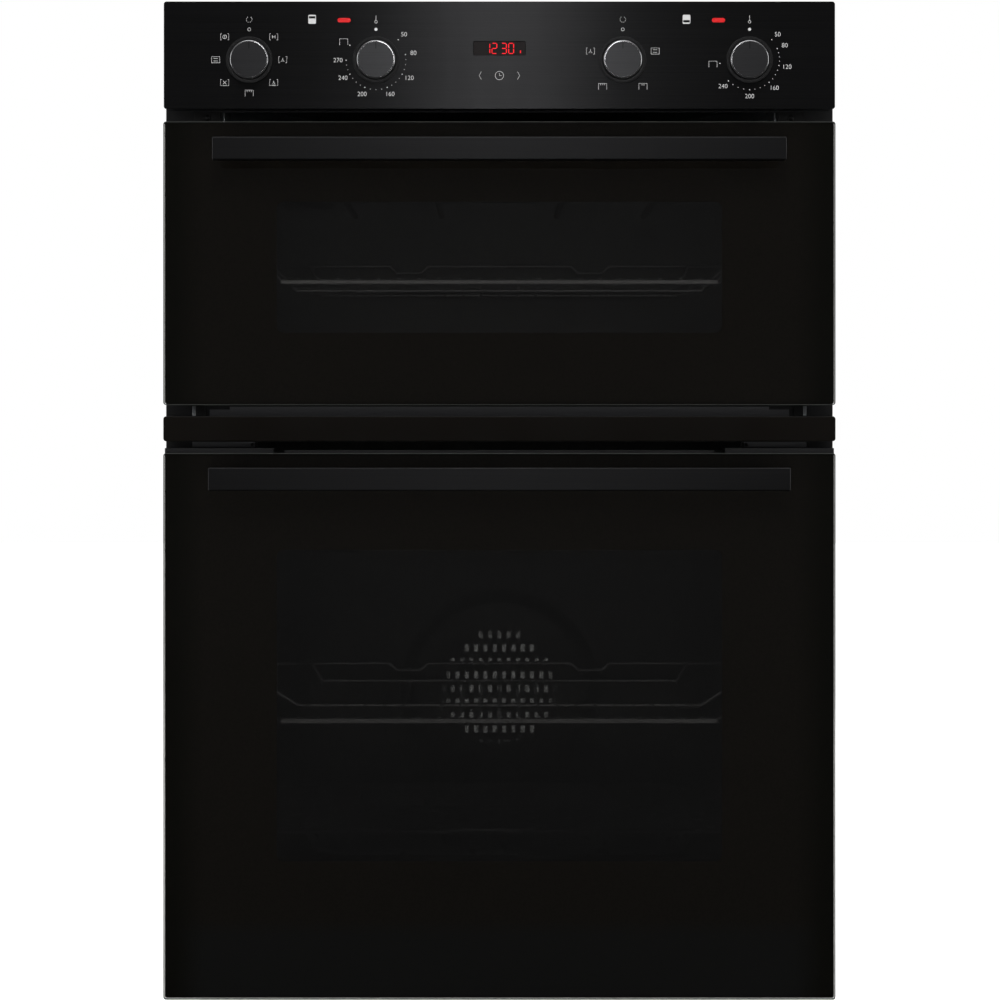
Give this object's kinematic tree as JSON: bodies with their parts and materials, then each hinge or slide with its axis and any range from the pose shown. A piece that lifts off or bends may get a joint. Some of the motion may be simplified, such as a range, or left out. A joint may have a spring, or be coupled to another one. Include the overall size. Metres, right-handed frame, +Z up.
{
  "type": "wall oven",
  "caption": "Built-in double wall oven with two bottom-hinged glass doors, bar handles, push-in rotary knobs, wire racks, a fan oven below and a grill oven above.",
  "frame": {"origin": "middle of the outer box, on the surface the chassis stands on", "axes": "+X to the right seen from the front, +Y to the back, +Z up; the doors face -Y"},
  "size_m": [0.594, 0.614, 0.885],
  "materials": {
    "galvanised": "zinc-coated sheet with a faint spangle",
    "frame_paint": "satin dark grey paint",
    "trim_black": "gloss black paint",
    "screw_steel": "zinc-plated",
    "cavity_enamel": "speckled vitreous enamel",
    "glass_wool": "matte fibre blanket",
    "seal_rubber": "matte silicone",
    "heater_sheath": "oxidised steel tube",
    "lamp_ceramic": "unglazed",
    "lamp_glass": "clear pressed glass",
    "probe_steel": "polished tube",
    "motor_steel": "bare laminated steel",
    "terminal_plastic": "moulded",
    "hinge_steel": "zinc-plated stampings",
    "rack_chrome": "plated wire",
    "tray_enamel": "glossy vitreous enamel",
    "fascia_steel": "brushed and coated black",
    "door_glass": "glass printed black round a tinted window",
    "clear_glass": "heat-reflecting clear glass",
    "carrier_plastic": "moulded",
    "bezel_black": "satin black ring",
    "knob_black": "brushed and anodised black, with a polished edge",
    "switch_plastic": "glass-filled nylon",
    "display_plastic": "dark filter",
    "red_lens": "translucent red",
    "fan_aluminium": "pressed sheet",
    "spindle_steel": "turned",
    "door_profile": "satin black coated profile",
    "handle_black": "brushed, anodised black"
  },
  "bodies": {
    "oven": {"base_plate": "galvanised", "side_panels": "galvanised", "rear_panel": "galvanised", "top_cover": "galvanised", "front_frame": "frame_paint", "middle_trim": "trim_black", "gap_brackets": "frame_paint", "chassis_screws": "screw_steel", "upper_cavity": "cavity_enamel", "lower_cavity": "cavity_enamel", "insulation": "glass_wool", "door_seals": "seal_rubber", "fan_baffle": "cavity_enamel", "ring_element": "heater_sheath", "grill_elements": "heater_sheath", "base_elements": "heater_sheath", "lamp_sockets": "lamp_ceramic", "lamp_lenses": "lamp_glass", "temperature_probes": "probe_steel", "fan_motor": "motor_steel", "blower_housing": "galvanised", "blower_motor": "motor_steel", "air_duct": "galvanised", "terminal_box": "terminal_plastic", "hinge_arms": "hinge_steel", "side_ladders": "rack_chrome", "upper_rack": "rack_chrome", "lower_rack": "rack_chrome", "baking_tray": "tray_enamel", "control_fascia": "fascia_steel", "fascia_carrier": "carrier_plastic", "knob_bezels": "bezel_black", "rotary_switches": "switch_plastic", "display_module": "display_plastic", "indicator_lenses": "red_lens"},
    "upper_door": {"upper_door_glass": "door_glass", "upper_inner_glass": "clear_glass", "upper_door_columns": "door_profile", "upper_door_rails": "door_profile", "upper_handle": "handle_black", "upper_handle_posts": "handle_black", "upper_door_hinges": "hinge_steel"},
    "lower_door": {"lower_door_glass": "door_glass", "lower_middle_glass": "clear_glass", "lower_inner_glass": "clear_glass", "lower_door_columns": "door_profile", "lower_door_rails": "door_profile", "lower_handle": "handle_black", "lower_handle_posts": "handle_black", "lower_door_hinges": "hinge_steel"},
    "spindle_1": {"spindle_1": "spindle_steel"},
    "knob_1": {"knob_1": "knob_black"},
    "spindle_2": {"spindle_2": "spindle_steel"},
    "knob_2": {"knob_2": "knob_black"},
    "spindle_3": {"spindle_3": "spindle_steel"},
    "knob_3": {"knob_3": "knob_black"},
    "spindle_4": {"spindle_4": "spindle_steel"},
    "knob_4": {"knob_4": "knob_black"},
    "convection_fan": {"convection_fan": "fan_aluminium"},
    "blower_rotor": {"blower_rotor": "fan_aluminium"}
  },
  "joints": [
    {"name": "upper_door_hinge", "type": "hinge", "parent": "oven", "child": "upper_door", "pos_m": [0, -0.255, 0.5385], "axis": [1, 0, 0], "range_deg": [0, 90], "stiffness_Nm_per_rad": 1.6, "springref_deg": -20.05},
    {"name": "lower_door_hinge", "type": "hinge", "parent": "oven", "child": "lower_door", "pos_m": [0, -0.255, 0.013], "axis": [1, 0, 0], "range_deg": [0, 90], "stiffness_Nm_per_rad": 7.2, "springref_deg": -20.05},
    {"name": "knob_1_turn", "type": "hinge", "parent": "oven", "child": "spindle_1", "pos_m": [-0.221, -0.255, 0.8335], "axis": [0, 1, 0], "continuous": true},
    {"name": "knob_1_pop_out", "type": "slide", "parent": "spindle_1", "child": "knob_1", "axis": [0, -1, 0], "range_m": [0, 0.014]},
    {"name": "knob_2_turn", "type": "hinge", "parent": "oven", "child": "spindle_2", "pos_m": [-0.109, -0.255, 0.8335], "axis": [0, 1, 0], "range_deg": [0, 305]},
    {"name": "knob_2_pop_out", "type": "slide", "parent": "spindle_2", "child": "knob_2", "axis": [0, -1, 0], "range_m": [0, 0.014]},
    {"name": "knob_3_turn", "type": "hinge", "parent": "oven", "child": "spindle_3", "pos_m": [0.109, -0.255, 0.8335], "axis": [0, 1, 0], "continuous": true},
    {"name": "knob_3_pop_out", "type": "slide", "parent": "spindle_3", "child": "knob_3", "axis": [0, -1, 0], "range_m": [0, 0.014]},
    {"name": "knob_4_turn", "type": "hinge", "parent": "oven", "child": "spindle_4", "pos_m": [0.221, -0.255, 0.8335], "axis": [0, 1, 0], "range_deg": [0, 265]},
    {"name": "knob_4_pop_out", "type": "slide", "parent": "spindle_4", "child": "knob_4", "axis": [0, -1, 0], "range_m": [0, 0.014]},
    {"name": "convection_fan_spin", "type": "hinge", "parent": "oven", "child": "convection_fan", "pos_m": [0, 0.196, 0.24], "axis": [0, 1, 0], "continuous": true},
    {"name": "blower_spin", "type": "hinge", "parent": "oven", "child": "blower_rotor", "pos_m": [0, 0.165, 0.822], "axis": [1, 0, 0], "continuous": true}
  ]
}
